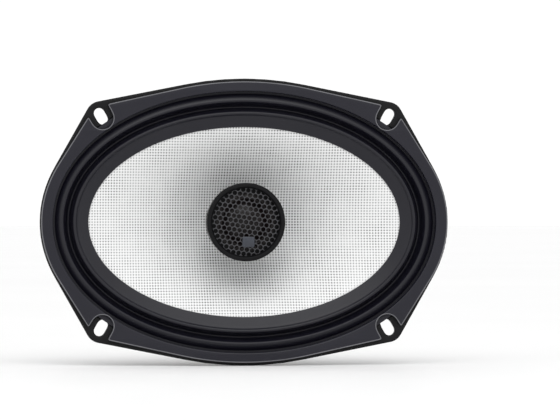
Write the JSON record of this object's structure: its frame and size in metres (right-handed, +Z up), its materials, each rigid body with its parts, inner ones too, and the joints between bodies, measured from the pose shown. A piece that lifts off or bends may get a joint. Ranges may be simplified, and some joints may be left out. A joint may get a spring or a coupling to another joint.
{
  "type": "coaxial car speaker",
  "caption": "Oval coaxial car speaker: a woven-fibre woofer cone in an eared, four-spoke basket, with a dome tweeter under a round mesh on a post at the centre.",
  "frame": {"origin": "centre of the flange's back (seating) face, on the speaker's axis and in the middle of the screw slots", "axes": "-Y out of the speaker's front, +X along the oval's long axis, +Z up, as the speaker is shown"},
  "size_m": [0.2364, 0.0899, 0.1656],
  "materials": {
    "basket_coat": "matte",
    "trim_plastic": "satin",
    "surround_rubber": "satin",
    "cone_fibre": "satin",
    "former_film": "satin",
    "copper_wire": "gloss",
    "spider_cloth": "matte",
    "plated_steel": "satin",
    "ferrite": "matte",
    "terminal_brass": "satin",
    "terminal_tin": "satin",
    "terminal_board": "matte",
    "rivet_steel": "satin",
    "lead_braid": "satin",
    "capacitor_sleeve": "gloss",
    "red_insulation": "satin",
    "black_insulation": "satin",
    "tweeter_plastic": "satin",
    "neodymium": "gloss",
    "dome_silk": "satin",
    "grille_paint": "satin",
    "badge_metal": "satin"
  },
  "bodies": {
    "frame": {"basket": "basket_coat", "trim_ring": "trim_plastic", "surround": "surround_rubber", "spider": "spider_cloth", "top_plate": "plated_steel", "ferrite_magnet": "ferrite", "yoke": "plated_steel", "motor_screws": "rivet_steel", "terminal_block": "terminal_board", "terminal_positive": "terminal_brass", "terminal_negative": "terminal_tin", "terminal_rivets": "rivet_steel", "tinsel_lead_positive": "lead_braid", "tinsel_lead_negative": "lead_braid", "tweeter_capacitor": "capacitor_sleeve", "capacitor_link": "red_insulation", "tweeter_wire_positive": "red_insulation", "tweeter_wire_negative": "black_insulation", "tweeter_post": "tweeter_plastic", "post_washer": "rivet_steel", "tweeter_housing": "tweeter_plastic", "tweeter_yoke": "plated_steel", "tweeter_magnet": "neodymium", "tweeter_pole_piece": "plated_steel", "tweeter_dome_frame": "tweeter_plastic", "tweeter_dome_surround": "dome_silk", "tweeter_bezel": "tweeter_plastic", "tweeter_grille": "grille_paint", "tweeter_badge": "badge_metal"},
    "cone_assembly": {"cone": "cone_fibre", "voice_coil_former": "former_film", "voice_coil_winding": "copper_wire", "voice_coil_tags": "terminal_tin"},
    "tweeter_diaphragm": {"tweeter_dome": "dome_silk", "tweeter_coil_former": "former_film", "tweeter_coil_winding": "copper_wire"}
  },
  "joints": [
    {"name": "cone_travel", "type": "slide", "parent": "frame", "child": "cone_assembly", "axis": [0, -1, 0], "range_m": [-0.006, 0.006], "stiffness_N_per_m": 2000, "deforming": ["surround", "spider", "tinsel_lead_positive", "tinsel_lead_negative"]},
    {"name": "tweeter_dome_travel", "type": "slide", "parent": "frame", "child": "tweeter_diaphragm", "axis": [0, -1, 0], "range_m": [-0.00025, 0.00025], "stiffness_N_per_m": 200, "deforming": ["tweeter_dome_surround"]}
  ]
}
